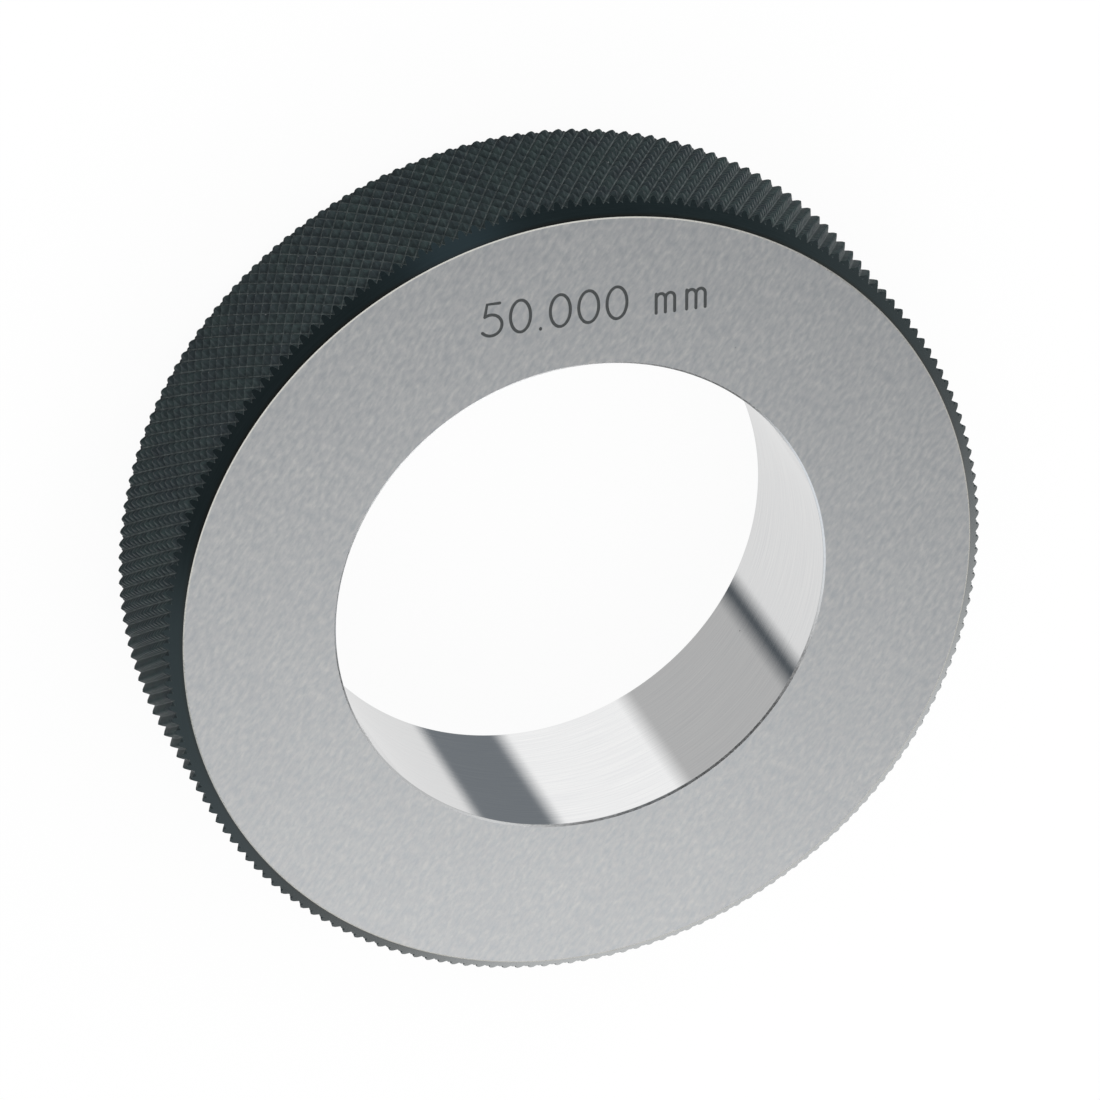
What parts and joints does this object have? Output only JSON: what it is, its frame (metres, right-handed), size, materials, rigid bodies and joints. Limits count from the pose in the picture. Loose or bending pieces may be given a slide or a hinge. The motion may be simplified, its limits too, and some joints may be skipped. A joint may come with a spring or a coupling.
{
  "type": "setting ring gauge",
  "caption": "One-piece steel setting ring with a lapped bore, two ground faces and a blackened rim with chamfers and a raised diamond knurl.",
  "frame": {"origin": "on the bore axis, in the lower ground face on which the ring lies", "axes": "+Z along the bore axis, out of the upper face that holds the engraved size; +X the way that the size reads; +Y up the size's figures"},
  "size_m": [0.084, 0.084, 0.02],
  "materials": {
    "ground_steel": "ground faces and a lapped bore",
    "black_oxide": "blackened, semi-matt, on the knurled rim and its chamfers"
  },
  "bodies": {
    "root": {"ring": "ground_steel"}
  },
  "joints": []
}
